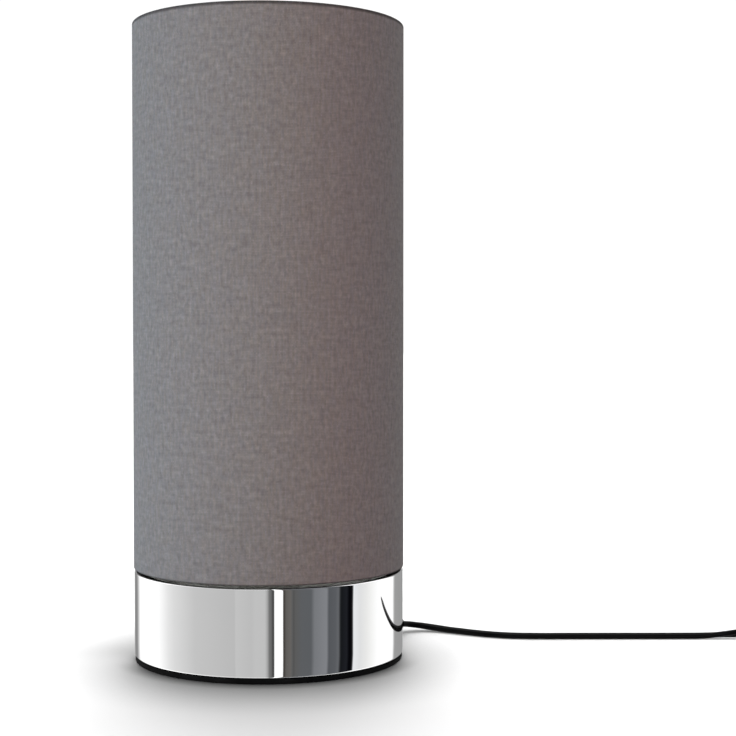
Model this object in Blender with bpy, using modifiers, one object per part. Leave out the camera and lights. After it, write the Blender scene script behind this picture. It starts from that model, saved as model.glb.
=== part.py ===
"""Touch table lamp: a tall cloth drum shade standing on a polished can of the same
diameter, with a two-core flex wound up and tied for storage.

Frame: metres, +Z up.  The origin is the centre of the lamp's footprint on the table.
The lamp's axis is Z.  The front faces -Y and the flex leaves at the rear right.

Bodies:  base (everything that stands on the table, with the flex)
         shade (lifts off along +Z)  -> shade_nut (turns on the lampholder's thread)
         bulb (unscrews and lifts out along +Z)
"""

import math

import bpy
import bmesh
from mathutils import Matrix, Vector

# ---------------------------------------------------------------- driving sizes, mm
MM = 0.001

SHADE_R = 60.0          # outside of the cloth
SHADE_BOTTOM = 40.7
SHADE_TOP = 280.2
CLOTH = 0.4             # cloth thickness
LINER = 0.5             # laminated plastic drum behind the cloth
FIT = 0.3               # clearance between pieces that touch
WIRE_R = 1.5            # shade ring wire
RING_R = 57.0           # middle of the ring wire

CAN_R = 59.75           # outside of the polished can
CAN_WALL = 0.9
CAN_TOP = 39.6
CAN_BOTTOM = 2.5
CAN_EDGE = 1.6          # radius of the can's rolled top edge
FOOT_R = 59.4
FOOT_H = 2.2

PLATE_TOP = 3.7         # closing plate
BALLAST_TOP = 12.0
SCREW_R = 46.0          # pitch radius of the plate screws

FLEX_W = 5.2            # two-core flat flex
FLEX_T = 2.6
EXIT_AZ = 38.0          # where the flex leaves, degrees from +X towards +Y
EXIT_Z = 7.2
EXIT_DIP = 8.0          # the strain relief points down by this much
RELIEF = 20.3           # its length outside the can

NIPPLE_R = 5.0          # M10x1 threaded tube
NIPPLE_BORE = 3.6
HOLDER_R = 14.0         # small screw lampholder
SHOULDER_Z = 56.2       # the shade's carrier ring rests here
NUT_BORE = 14.4
CARRIER_BORE = 14.5
CARRIER_R = 19.0

BULB_R = 12.5
BULB_TIP = 60.0
BULB_TOP = 146.5

COIL_X, COIL_Y = 262.0, -11.0
COIL_R = 35.6           # centre line of the outer turn
COIL_TURNS = 8.25
COIL_PITCH = 2.7
COIL_LOW = 0.8          # the ties under it lift it by this much
COIL_HIGH = 11.8
PLUG_X = 303.0
PLUG_Z = 6.85

# ---------------------------------------------------------------- scene and helpers
for old in list(bpy.data.objects):
    bpy.data.objects.remove(old, do_unlink=True)

lamp = bpy.data.collections.new("table_lamp")
tools = bpy.data.collections.new("table_lamp_cutters")
bpy.context.scene.collection.children.link(lamp)
bpy.context.scene.collection.children.link(tools)


def finish(name, colour, roughness, metallic=0.0):
    """One Principled material."""
    m = bpy.data.materials.new(name)
    m.use_nodes = True
    shader = m.node_tree.nodes["Principled BSDF"]
    shader.inputs["Base Color"].default_value = (*colour, 1.0)
    shader.inputs["Roughness"].default_value = roughness
    shader.inputs["Metallic"].default_value = metallic
    m.diffuse_color = (*colour, 1.0)
    return m


CLOTH_M = finish("shade_cloth", (0.20, 0.195, 0.19), 0.9)
LINER_M = finish("white_liner", (0.82, 0.82, 0.80), 0.55)
CHROME_M = finish("chrome", (0.86, 0.87, 0.88), 0.04, 1.0)
ZINC_M = finish("zinc_steel", (0.62, 0.62, 0.60), 0.35, 1.0)
IRON_M = finish("cast_ballast", (0.10, 0.10, 0.10), 0.7, 1.0)
BRASS_M = finish("brass", (0.72, 0.52, 0.24), 0.3, 1.0)
WHITE_WIRE_M = finish("white_enamel", (0.85, 0.85, 0.83), 0.4)
BLACK_SOFT_M = finish("black_foot", (0.015, 0.015, 0.016), 0.8)
FLEX_M = finish("black_flex", (0.012, 0.012, 0.013), 0.45)
WHITE_PLASTIC_M = finish("white_plastic", (0.80, 0.80, 0.78), 0.4)
BLACK_PLASTIC_M = finish("black_plastic", (0.02, 0.02, 0.02), 0.4)
BOARD_M = finish("circuit_board", (0.05, 0.22, 0.10), 0.5)
PART_M = finish("component_body", (0.03, 0.03, 0.03), 0.45)
FILM_M = finish("film_capacitor", (0.75, 0.60, 0.12), 0.45)
COPPER_M = finish("copper", (0.80, 0.42, 0.25), 0.35, 1.0)
LEAD_M = finish("lead_insulation", (0.20, 0.10, 0.05), 0.5)
CERAMIC_M = finish("ceramic", (0.86, 0.84, 0.79), 0.5)
OPAL_M = finish("opal_glass", (0.92, 0.92, 0.90), 0.25)
NICKEL_M = finish("nickel_cap", (0.72, 0.70, 0.66), 0.25, 1.0)


def place(o, material, group=None, collection=None):
    (collection or lamp).objects.link(o)
    if material is not None:
        o.data.materials.append(material)
    if group is not None:
        o.parent = group
    return o


def pivot(name, parent=None, at=(0, 0, 0)):
    e = bpy.data.objects.new(name, None)
    e.location = Vector(at) * MM
    e.empty_display_size = 0.02
    lamp.objects.link(e)
    if parent is not None:
        e.parent = parent
    return e


def turned(name, profile, material, group=None, steps=32, closed=True, shell=None, frame=None, collection=None):
    """Turns (r, z) points in mm about the Z axis.  The outer side runs top to bottom.
    closed joins the last point to the first; an open profile ends on the axis, or
    is given a shell thickness."""
    me = bpy.data.meshes.new(name)
    bm = bmesh.new()
    vs = [bm.verts.new((r * MM, 0, z * MM)) for r, z in profile]
    for a, b in zip(vs, vs[1:]):
        bm.edges.new((a, b))
    if closed:
        bm.edges.new((vs[-1], vs[0]))
    bm.to_mesh(me)
    bm.free()
    o = place(bpy.data.objects.new(name, me), material, group, collection)
    s = o.modifiers.new("turn", "SCREW")
    s.axis = "Z"
    s.angle = 2 * math.pi
    s.steps = s.render_steps = steps
    s.use_merge_vertices = True
    s.merge_threshold = 0.00001
    s.use_smooth_shade = True
    if shell:
        t = o.modifiers.new("wall", "SOLIDIFY")
        t.thickness = shell * MM
        t.offset = 0
        t.use_even_offset = True
    if frame is not None:
        o.matrix_world = frame
    return o


def block(name, size, at, material, group=None, edge=0.0, turn=0.0, collection=None):
    """A box of size mm centred at mm, turned about Z by degrees."""
    me = bpy.data.meshes.new(name)
    bm = bmesh.new()
    bmesh.ops.create_cube(bm, size=1.0)
    bmesh.ops.scale(bm, vec=Vector(size) * MM, verts=bm.verts)
    bm.to_mesh(me)
    bm.free()
    o = place(bpy.data.objects.new(name, me), material, group, collection)
    o.location = Vector(at) * MM
    o.rotation_euler = (0, 0, math.radians(turn))
    if edge:
        b = o.modifiers.new("edge", "BEVEL")
        b.width = edge * MM
        b.segments = 2
        b.limit_method = "ANGLE"
    return o


def rod(name, radius, low, high, at, material, group=None, sides=20, collection=None):
    """An upright cylinder, mm."""
    me = bpy.data.meshes.new(name)
    bm = bmesh.new()
    bmesh.ops.create_cone(
        bm, cap_ends=True, cap_tris=False, segments=sides,
        radius1=radius * MM, radius2=radius * MM, depth=(high - low) * MM,
    )
    bm.to_mesh(me)
    bm.free()
    me.shade_smooth()
    me.set_sharp_from_angle(angle=math.radians(40))
    o = place(bpy.data.objects.new(name, me), material, group, collection)
    o.location = Vector((at[0], at[1], (low + high) / 2)) * MM
    return o


def cutter(o):
    o.hide_render = True
    o.display_type = "WIRE"
    return o


def cut(o, tool, how="DIFFERENCE"):
    b = o.modifiers.new("cut", "BOOLEAN")
    b.operation = how
    b.solver = "EXACT"
    b.object = tool
    return o


def smooth_route(points, step):
    """Evenly spaced points on one smooth curve through the given points, mm."""
    pts = [Vector(p) for p in points]
    pts = [2 * pts[0] - pts[1]] + pts + [2 * pts[-1] - pts[-2]]
    fine = []
    for i in range(1, len(pts) - 2):
        p0, p1, p2, p3 = pts[i - 1:i + 3]
        t0 = 0.0
        t1 = t0 + math.sqrt((p1 - p0).length)
        t2 = t1 + math.sqrt((p2 - p1).length)
        t3 = t2 + math.sqrt((p3 - p2).length)
        for k in range(24):
            t = t1 + (t2 - t1) * k / 24
            a1 = p0 * ((t1 - t) / (t1 - t0)) + p1 * ((t - t0) / (t1 - t0))
            a2 = p1 * ((t2 - t) / (t2 - t1)) + p2 * ((t - t1) / (t2 - t1))
            a3 = p2 * ((t3 - t) / (t3 - t2)) + p3 * ((t - t2) / (t3 - t2))
            b1 = a1 * ((t2 - t) / (t2 - t0)) + a2 * ((t - t0) / (t2 - t0))
            b2 = a2 * ((t3 - t) / (t3 - t1)) + a3 * ((t - t1) / (t3 - t1))
            fine.append(b1 * ((t2 - t) / (t2 - t1)) + b2 * ((t - t1) / (t2 - t1)))
    fine.append(pts[-2])
    along = [0.0]
    for a, b in zip(fine, fine[1:]):
        along.append(along[-1] + (b - a).length)
    count = max(2, round(along[-1] / step) + 1)
    out, j = [], 0
    for k in range(count):
        want = along[-1] * k / (count - 1)
        while j < len(along) - 2 and along[j + 1] < want:
            j += 1
        span = along[j + 1] - along[j]
        out.append(fine[j].lerp(fine[j + 1], (want - along[j]) / span if span else 0.0))
    return out


def tube(name, points, radius, material, group=None, fine=2):
    """A round tube along points in mm, with filled ends."""
    cu = bpy.data.curves.new(name, "CURVE")
    cu.dimensions = "3D"
    cu.bevel_depth = radius * MM
    cu.bevel_resolution = fine
    cu.use_fill_caps = True
    cu.resolution_u = 1
    cu.render_resolution_u = 0
    sp = cu.splines.new("POLY")
    sp.points.add(len(points) - 1)
    for p, q in zip(sp.points, points):
        p.co = (*(Vector(q) * MM), 1.0)
    return place(bpy.data.objects.new(name, cu), material, group)


def outline(name, points, thickness, material, group=None, edge=0.0):
    """A flat outline in mm, filled and given a thickness along its own Z."""
    cu = bpy.data.curves.new(name, "CURVE")
    cu.dimensions = "2D"
    cu.fill_mode = "BOTH"
    cu.extrude = thickness / 2 * MM - edge * MM
    cu.bevel_depth = edge * MM
    cu.bevel_resolution = 1
    cu.offset = -edge * MM
    cu.resolution_u = 1
    cu.render_resolution_u = 0
    sp = cu.splines.new("POLY")
    sp.points.add(len(points) - 1)
    for p, q in zip(sp.points, points):
        p.co = (q[0] * MM, q[1] * MM, 0, 1.0)
    sp.use_cyclic_u = True
    return place(bpy.data.objects.new(name, cu), material, group)


def ring_of(radius, wire, height, sides=6):
    """Closed section of a wire ring, outer side first and running down."""
    return [
        (radius + wire * math.cos(a), height + wire * math.sin(a))
        for a in (math.pi / 2 - 2 * math.pi * k / sides for k in range(sides))
    ]


def arc(cx, cz, r, start, end, count):
    """Points of an arc in the (r, z) plane, degrees."""
    return [
        (cx + r * math.cos(math.radians(a)), cz + r * math.sin(math.radians(a)))
        for a in (start + (end - start) * k / count for k in range(count + 1))
    ]


base = pivot("base_frame")
shade = pivot("shade_lift", base)
nut = pivot("shade_nut_turn", shade, (0, 0, 62.0))
bulb = pivot("bulb_lift", base)

# ---------------------------------------------------------------- base: can, foot, ballast
inner = CAN_R - CAN_WALL
under = CAN_TOP - CAN_WALL
can = turned(
    "base_shell",
    [(NIPPLE_R + FIT, CAN_TOP)]
    + arc(CAN_R - CAN_EDGE, CAN_TOP - CAN_EDGE, CAN_EDGE, 90, 0, 3)
    + [(CAN_R, CAN_BOTTOM), (inner, CAN_BOTTOM)]
    + arc(inner - CAN_EDGE, under - CAN_EDGE, CAN_EDGE, 0, 90, 1)
    + [(NIPPLE_R + FIT, under)],
    CHROME_M, base, steps=64,
)

# the strain relief's axis: along +Z in its own frame, pointing out and a little down
az, dip = math.radians(EXIT_AZ), math.radians(EXIT_DIP)
out_dir = Vector((math.cos(az) * math.cos(dip), math.sin(az) * math.cos(dip), -math.sin(dip)))
exit_at = Vector((CAN_R * math.cos(az), CAN_R * math.sin(az), EXIT_Z))
exit_frame = Matrix.Translation(exit_at * MM) @ out_dir.to_track_quat("Z", "Y").to_matrix().to_4x4()

hole = cutter(turned("cord_hole_tool", [(0, 6), (4.1, 6), (4.1, -6), (0, -6)], None, steps=20,
                     closed=False, frame=exit_frame, collection=tools))
cut(can, hole)

turned(
    "cord_relief",
    [(0, RELIEF), (3.0, RELIEF), (4.0, 1.9), (4.1, 0.45), (3.7, 0.4), (3.7, -1.6),
     (4.6, -1.6), (4.6, -3.0), (0, -3.0)],
    FLEX_M, base, steps=20, closed=False, frame=exit_frame,
)

foot = rod("foot_pad", FOOT_R, 0, FOOT_H, (0, 0), BLACK_SOFT_M, base, sides=64)
plate = rod("bottom_plate", inner - 0.4, CAN_BOTTOM, PLATE_TOP, (0, 0), ZINC_M, base, sides=64)
ballast = turned(
    "ballast_ring",
    [(inner - 1.2, BALLAST_TOP - 1.0), (inner - 1.2, PLATE_TOP + FIT),
     (36.0, PLATE_TOP + FIT), (36.0, BALLAST_TOP), (inner - 2.2, BALLAST_TOP)],
    IRON_M, base, steps=40,
)
notch = cutter(block("cord_notch_tool", (40, 18, 30),
                     (47 * math.cos(az), 47 * math.sin(az), 8), None, turn=EXIT_AZ, collection=tools))
cut(ballast, notch)
plate_notch = cutter(block("plate_notch_tool", (8, 12, 8),
                           (58 * math.cos(az), 58 * math.sin(az), 3), None, turn=EXIT_AZ, collection=tools))
cut(plate, plate_notch)

for k, angle in enumerate((100, 220, 340)):
    x, y = SCREW_R * math.cos(math.radians(angle)), SCREW_R * math.sin(math.radians(angle))
    pad_hole = cutter(rod(f"pad_hole_tool_{k + 1}", 3.6, -2, 2.35, (x, y), None, sides=16, collection=tools))
    cut(foot, pad_hole)
    plate_hole = cutter(rod(f"plate_hole_tool_{k + 1}", 1.8, 1.5, 9.8, (x, y), None, sides=12, collection=tools))
    cut(plate, plate_hole)
    cut(ballast, plate_hole)
    s = turned(
        f"plate_screw_{k + 1}",
        [(0, 9.2), (1.2, 9.2), (1.45, 8.8), (1.45, 2.2), (2.9, 2.2), (2.9, 1.4), (2.2, 0.5), (0, 0.5)],
        ZINC_M, base, steps=12, closed=False,
    )
    s.location = (x * MM, y * MM, 0)

# ---------------------------------------------------------------- flex inside the can
def rel(radial, across, z):
    """A point in the can: radial along the flex's way in, across it, and height."""
    return (radial * math.cos(az) - across * math.sin(az), radial * math.sin(az) + across * math.cos(az), z)


start_in = exit_at - out_dir * 3.3
tube(
    "cord_inner",
    smooth_route([tuple(start_in), rel(50, 0, 6.9), rel(42, 0, 6.9), (29.5, 21.0, 8.6),
                  (27.0, 16.5, 14.0), (24.5, 12.0, 19.0), (20.5, 9.0, 21.6), (15.85, 8.0, 21.9)], 3.0),
    1.3, FLEX_M, base,
)
clamp = block("cord_clamp", (6, 14, 6.0), rel(47, 0, 7.0), WHITE_PLASTIC_M, base, turn=EXIT_AZ)
tunnel = cutter(block("clamp_tunnel_tool", (12, 6.4, 6.4), rel(47, 0, 5.6), None, turn=EXIT_AZ, collection=tools))
cut(clamp, tunnel)
screw_hole = cutter(rod("clamp_hole_tool", 1.5, 3.0, 11.0, rel(47, 5.1, 0)[:2], None, sides=12, collection=tools))
cut(clamp, screw_hole)
s = turned("clamp_screw",
           [(0, 11.8), (1.4, 11.7), (2.1, 10.9), (2.1, 10.3), (1.15, 10.3), (1.15, 4.2), (0, 4.2)],
           ZINC_M, base, steps=12, closed=False)
s.location = Vector((*rel(47, 5.1, 0)[:2], 0)) * MM

# ---------------------------------------------------------------- touch dimmer board
block("dimmer_board", (44, 30, 1.6), (0, 0, 15.8), BOARD_M, base)
for k, (x, y) in enumerate(((-19, -12), (19, -12), (-19, 12))):
    turned(f"board_pillar_{k + 1}",
           [(0, 14.7), (1.9, 14.7), (1.9, 6.0), (3.2, 4.8), (3.2, 4.0), (0, 4.0)],
           WHITE_PLASTIC_M, base, steps=12, closed=False).location = (x * MM, y * MM, 0)
block("triac", (10, 4.5, 12), (-15, -8, 22.9), PART_M, base, edge=0.4)
block("mains_capacitor", (13, 6, 11), (3, -9, 22.4), FILM_M, base, edge=0.6)
turned("filter_choke",
       [(0, 24.9), (4.6, 24.9), (4.6, 23.7), (3.3, 23.4), (3.3, 18.4), (4.6, 18.1), (4.6, 16.9), (0, 16.9)],
       COPPER_M, base, steps=20, closed=False)
bpy.data.objects["filter_choke"].location = (16 * MM, -5 * MM, 0)
block("touch_chip", (9, 6, 3), (-14, 3, 18.4), PART_M, base, edge=0.3)
block("terminal_block", (15, 9, 10), (8, 8, 21.9), WHITE_PLASTIC_M, base, edge=0.5)

# ---------------------------------------------------------------- threaded tube and lampholder
turned("nipple_tube", [(NIPPLE_R, 45.3), (NIPPLE_R, 31.0), (NIPPLE_BORE, 31.0), (NIPPLE_BORE, 45.3)],
       ZINC_M, base, steps=24)
hexnut = rod("nipple_nut", 8.1, 31.6, 35.8, (0, 0), ZINC_M, base, sides=6)
bore = cutter(rod("nipple_nut_tool", NIPPLE_R + FIT, 28, 38, (0, 0), None, sides=24, collection=tools))
cut(hexnut, bore)
turned("lock_washer", [(8.6, 36.9), (8.6, 36.1), (5.4, 36.1), (5.4, 36.9)], ZINC_M, base, steps=24)
lug = turned("touch_lug", [(8.0, 38.2), (8.0, 37.4), (5.4, 37.4), (5.4, 38.2)], BRASS_M, base, steps=24)
tail = cutter(block("touch_lug_tail", (9.0, 4.0, 0.7), (-11.0, 0, 37.8), None, collection=tools))
cut(lug, tail, "UNION")
tube("touch_wire",
     smooth_route([(-12, 9, 16.95), (-14.5, 8.4, 21), (-18.2, 5.0, 28), (-18.6, 1.5, 34), (-17.6, 0.2, 37.2), (-16.7, 0, 37.8)], 3.0),
     0.8, LEAD_M, base)
tube("live_lead",
     smooth_route([(1.6, 5, 27.45), (1.4, 4.8, 28.3), (-0.6, 1.9, 29.2), (-1.4, 0.3, 30.8), (-1.5, 0, 34), (-1.5, 0, 45.6)], 2.0),
     0.8, LEAD_M, base)
tube("neutral_lead",
     smooth_route([(6, 5, 27.45), (5.8, 4.8, 28.3), (3.2, 1.9, 29.2), (1.7, 0.3, 30.8), (1.5, 0, 34), (1.5, 0, 45.6)], 2.0),
     0.8, LEAD_M, base)

turned("holder_body",
       [(HOLDER_R, 52.0), (HOLDER_R, 41.0), (HOLDER_R - 1.0, 39.9), (NIPPLE_R + FIT, 39.9),
        (NIPPLE_R + FIT, 43.2), (12.2, 43.2), (12.2, 52.0)],
       WHITE_PLASTIC_M, base, steps=24)
turned("holder_skirt",
       [(HOLDER_R, 79.5), (HOLDER_R, SHOULDER_Z), (17.2, SHOULDER_Z), (17.2, 54.0), (HOLDER_R, 53.4),
        (HOLDER_R, 52.3), (12.0, 52.3), (12.0, 79.5)],
       WHITE_PLASTIC_M, base, steps=24)
turned("holder_core", [(0, 57.5), (11.6, 57.5), (11.6, 46.0), (0, 46.0)], CERAMIC_M, base, steps=24, closed=False)
turned("screw_shell", [(7.75, 78.0), (7.75, 57.8), (7.3, 57.8), (7.3, 78.0)], BRASS_M, base, steps=24)
turned("centre_contact", [(0, 59.6), (1.6, 59.5), (2.8, 58.9), (3.0, 57.8), (0, 57.8)], BRASS_M, base, steps=12, closed=False)

# ---------------------------------------------------------------- bulb
turned("bulb_tip", [(0, 61.7), (2.4, 61.7), (2.4, 60.9), (1.6, 60.2), (0, BULB_TIP)], NICKEL_M, bulb, steps=16, closed=False)
turned("bulb_insulator", [(0, 64.6), (5.5, 64.6), (3.4, 62.0), (0, 62.0)], BLACK_PLASTIC_M, bulb, steps=20, closed=False)
ridges = []
for k in range(4):
    z = 80.0 - 3.9 * k
    ridges += [(6.9, z), (6.45, z - 1.95)]
turned("bulb_cap",
       [(6.6, 84.0), (6.6, 81.6)] + ridges + [(6.2, 64.9), (5.9, 64.9), (5.95, 84.0)],
       NICKEL_M, bulb, steps=24)
glass_out = ([(BULB_R * math.cos(math.radians(a)), BULB_TOP - BULB_R + BULB_R * math.sin(math.radians(a)))
              for a in (90, 72, 54, 36, 18, 0)]
             + [(BULB_R, 96.0), (11.6, 91.4), (9.2, 87.6), (6.2, 85.0), (5.6, 83.6), (5.6, 80.0)])
glass_out[0] = (0, BULB_TOP)
glass_in = ([(4.8, 80.0), (4.8, 83.9), (5.5, 85.6), (8.5, 88.2), (10.8, 91.7), (BULB_R - 0.8, 96.2)]
            + [((BULB_R - 0.8) * math.cos(math.radians(a)), BULB_TOP - BULB_R + (BULB_R - 0.8) * math.sin(math.radians(a)))
               for a in (0, 18, 36, 54, 72)]
            + [(0, BULB_TOP - 0.8)])
turned("bulb_glass", glass_out + glass_in, OPAL_M, bulb, steps=24, closed=False)
turned("led_stem",
       [(0, 132.0), (2.2, 130.6), (2.2, 92.0), (3.4, 89.0), (3.4, 66.0), (0, 66.0)],
       CERAMIC_M, bulb, steps=12, closed=False)

# ---------------------------------------------------------------- shade
mid = SHADE_R - CLOTH / 2
top = SHADE_TOP - CLOTH / 2
low = SHADE_BOTTOM + CLOTH / 2
turned(
    "shade_cloth",
    [(58.3, top - 11.5), (58.2, top - 7.5), (55.7, top - 4.2), (55.0, top - 2.4), (55.0, top - 0.7), (55.6, top),
     (mid - 0.5, top), (mid, top - 0.5), (mid, low + 0.5), (mid - 0.5, low), (56.2, low)],
    CLOTH_M, shade, steps=48, closed=False, shell=CLOTH,
)
liner_out = SHADE_R - CLOTH - FIT
turned("shade_liner",
       [(liner_out, top - 0.5), (liner_out, low + 0.5), (liner_out - LINER, low + 0.5), (liner_out - LINER, top - 0.5)],
       LINER_M, shade, steps=48)
ring_top_z = SHADE_TOP - CLOTH - FIT - WIRE_R
ring_low_z = SHADE_BOTTOM + CLOTH + FIT + WIRE_R
turned("top_ring", ring_of(RING_R, WIRE_R, ring_top_z), WHITE_WIRE_M, shade, steps=48)
turned("bottom_ring", ring_of(RING_R, WIRE_R, ring_low_z), WHITE_WIRE_M, shade, steps=48)
for k in range(3):
    a = math.radians(90 + 120 * k)
    way = smooth_route([(55.1, 0, ring_low_z), (50, 0, ring_low_z), (43, 0, 43.2), (36, 0, 44.6), (29.5, 0, 48.2),
                        (24.6, 0, 53.0), (22.2, 0, 55.8), (19.5, 0, 57.4)], 4.2)
    tube(f"spider_spoke_{k + 1}",
         [(p.x * math.cos(a), p.x * math.sin(a), p.z) for p in way], 1.1, WHITE_WIRE_M, shade)
turned("carrier_ring",
       [(CARRIER_R, SHOULDER_Z + 2.1), (CARRIER_R, SHOULDER_Z + FIT), (CARRIER_BORE, SHOULDER_Z + FIT), (CARRIER_BORE, SHOULDER_Z + 2.1)],
       WHITE_WIRE_M, shade, steps=32)

# ---------------------------------------------------------------- shade ring nut
ring_nut = turned("shade_nut",
                  [(17.6, 66.0), (18.6, 65.0), (18.6, 58.6), (NUT_BORE, 58.6), (NUT_BORE, 66.0)],
                  WHITE_PLASTIC_M, nut, steps=32)
ring_nut.location = (0, 0, -62.0 * MM)

# ---------------------------------------------------------------- free flex
relief_end = exit_at + out_dir * (RELIEF + FIT)
FLOOR_Z = FLEX_T / 2 + 0.05
run_way = [
    tuple(relief_end), (67.6, 52.0, 3.55), (73.6, 53.2, 2.55), (80.4, 51.2, 1.75), (87.6, 46.6, FLOOR_Z),
    (95.6, 40.6, FLOOR_Z), (104.0, 35.4, FLOOR_Z), (113.5, 31.7, FLOOR_Z), (125.0, 29.9, FLOOR_Z),
    (140.0, 29.0, FLOOR_Z), (160.0, 27.9, FLOOR_Z), (180.0, 26.7, FLOOR_Z), (200.0, 25.8, FLOOR_Z),
    (218.0, 25.2, 1.5), (234.0, 24.8, 2.4), (247.0, 24.65, 3.2),
]
tube("cord_run", smooth_route(run_way, 6.5), FLEX_T / 2, FLEX_M, base)

coil_half = COIL_PITCH * COIL_TURNS / 2
turned(
    "cord_coil",
    [(COIL_R + 1.0, COIL_HIGH), (COIL_R + 1.6, COIL_HIGH - 0.8), (COIL_R + 1.6, COIL_LOW + 0.8), (COIL_R + 1.0, COIL_LOW),
     (COIL_R - coil_half - 1.0, COIL_LOW), (COIL_R - coil_half - 1.6, COIL_LOW + 0.8),
     (COIL_R - coil_half - 1.6, COIL_HIGH - 0.8), (COIL_R - coil_half - 1.0, COIL_HIGH)],
    FLEX_M, base, steps=40,
).location = (COIL_X * MM, COIL_Y * MM, 0)

tail_way = [(299.3, -24.6, 8.0), (300.9, -30.0, 7.4), (302.2, -35.0, 7.0), (PLUG_X, -40.0, PLUG_Z)]
tube("cord_tail", smooth_route(tail_way, 3.0), FLEX_T / 2, FLEX_M, base)

# each tie is a flat band round the coil's section
tie_in = COIL_R - coil_half - 1.6
tie_mid = (tie_in + COIL_R + 1.6) / 2
tie_w, tie_h = (COIL_R + 1.6 - tie_in) + 2 * (FIT + 0.5), COIL_HIGH + FIT + 0.5
for name, angle in (("cord_tie_a", 150.0), ("cord_tie_b", 320.0)):
    a = math.radians(angle)
    at = (COIL_X + tie_mid * math.cos(a), COIL_Y + tie_mid * math.sin(a), tie_h / 2)
    band = block(name, (tie_w, 3.0, tie_h), at, BLACK_PLASTIC_M, base, turn=angle)
    inside = cutter(block(name + "_tool", (tie_w - 1.0, 6.0, tie_h - 1.0), at, None, turn=angle, collection=tools))
    cut(band, inside)

# ---------------------------------------------------------------- flat two-pin plug
plug = outline(
    "plug_body",
    [(-3.3, -40.3), (3.3, -40.3), (4.4, -53.5), (7.0, -57.0), (12.5, -62.5), (16.6, -69.5), (17.6, -76.0), (17.6, -84.0),
     (-17.6, -84.0), (-17.6, -76.0), (-16.6, -69.5), (-12.5, -62.5), (-7.0, -57.0), (-4.4, -53.5)],
    13.6, BLACK_PLASTIC_M, base, edge=1.2,
)
plug.location = (PLUG_X * MM, 0, PLUG_Z * MM)
for name, x in (("plug_pin_l", -9.3), ("plug_pin_r", 9.3)):
    pin_frame = Matrix.Translation(Vector((PLUG_X + x, -84.3, PLUG_Z)) * MM) @ Matrix.Rotation(math.radians(90), 4, "X")
    turned(name, [(0, 19.0), (1.1, 18.9), (2.0, 17.6), (2.0, 0), (0, 0)], NICKEL_M, base, steps=16, closed=False, frame=pin_frame)
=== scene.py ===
"""Touch table lamp: looks, studio and camera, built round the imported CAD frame.

Metres, +Z up, origin at the centre of the lamp's footprint.  The front faces -Y.
"""

import math

import bmesh
import bpy
import numpy as np
from mathutils import Matrix, Vector


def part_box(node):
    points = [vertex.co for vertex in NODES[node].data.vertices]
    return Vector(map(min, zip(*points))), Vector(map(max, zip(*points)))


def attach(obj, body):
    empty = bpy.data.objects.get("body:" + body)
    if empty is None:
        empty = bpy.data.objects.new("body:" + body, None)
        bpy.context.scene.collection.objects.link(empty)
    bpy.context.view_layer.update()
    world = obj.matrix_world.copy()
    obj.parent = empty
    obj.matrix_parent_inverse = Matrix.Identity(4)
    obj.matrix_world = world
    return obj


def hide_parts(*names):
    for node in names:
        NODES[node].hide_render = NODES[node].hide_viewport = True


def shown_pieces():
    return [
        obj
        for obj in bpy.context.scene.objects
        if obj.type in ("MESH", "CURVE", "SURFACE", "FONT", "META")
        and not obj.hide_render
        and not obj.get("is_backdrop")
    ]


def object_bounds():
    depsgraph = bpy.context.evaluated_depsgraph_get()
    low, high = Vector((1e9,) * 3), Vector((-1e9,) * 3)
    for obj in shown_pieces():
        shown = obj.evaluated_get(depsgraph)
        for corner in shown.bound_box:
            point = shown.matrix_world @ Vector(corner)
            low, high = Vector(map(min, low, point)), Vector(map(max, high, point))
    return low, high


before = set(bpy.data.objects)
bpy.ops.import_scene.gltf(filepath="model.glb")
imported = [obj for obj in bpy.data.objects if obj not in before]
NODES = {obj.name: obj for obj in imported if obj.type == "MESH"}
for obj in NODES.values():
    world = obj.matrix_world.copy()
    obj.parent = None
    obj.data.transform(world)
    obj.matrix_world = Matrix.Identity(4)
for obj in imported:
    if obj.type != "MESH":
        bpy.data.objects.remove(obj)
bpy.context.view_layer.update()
scene = bpy.context.scene
MM = 0.001
TAU = 2 * math.pi

# ------------------------------------------------------------------ sizes read from the frame
cloth_lo, cloth_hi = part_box("shade_cloth")
can_lo, can_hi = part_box("base_shell")
coil_lo, coil_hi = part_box("cord_coil")
bulb_lo, bulb_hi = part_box("bulb_glass")
foot_lo, foot_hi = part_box("foot_pad")
SHADE_R = cloth_hi[0] / MM
SHADE_LOW, SHADE_TOP = cloth_lo[2] / MM, cloth_hi[2] / MM
CAN_R, CAN_LOW, CAN_TOP = can_hi[0] / MM, can_lo[2] / MM, can_hi[2] / MM

EXIT_AZ, EXIT_DIP, EXIT_Z, RELIEF = math.radians(38.0), math.radians(8.0), 7.2, 20.3
out_dir = Vector((math.cos(EXIT_AZ) * math.cos(EXIT_DIP), math.sin(EXIT_AZ) * math.cos(EXIT_DIP), -math.sin(EXIT_DIP)))
exit_at = Vector((CAN_R * math.cos(EXIT_AZ), CAN_R * math.sin(EXIT_AZ), EXIT_Z))

# ------------------------------------------------------------------ camera
cam = bpy.data.objects.new("camera", bpy.data.cameras.new("camera"))
scene.collection.objects.link(cam)
scene.camera = cam
cam.data.sensor_width = 36.0
cam.data.lens = 78.64
cam.data.clip_start, cam.data.clip_end = 0.02, 60.0
cam.location = (0.0, -0.7190, 0.1476)
cam.rotation_euler = (math.radians(88.506), 0.0, math.radians(-3.526))

scene.view_settings.view_transform = "Standard"
scene.view_settings.look = "None"


# ------------------------------------------------------------------ mesh helpers
def new_object(name, me):
    o = bpy.data.objects.new(name, me)
    scene.collection.objects.link(o)
    return o


def shade(me, angle=35.0):
    me.shade_smooth()
    me.set_sharp_from_angle(angle=math.radians(angle))


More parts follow.
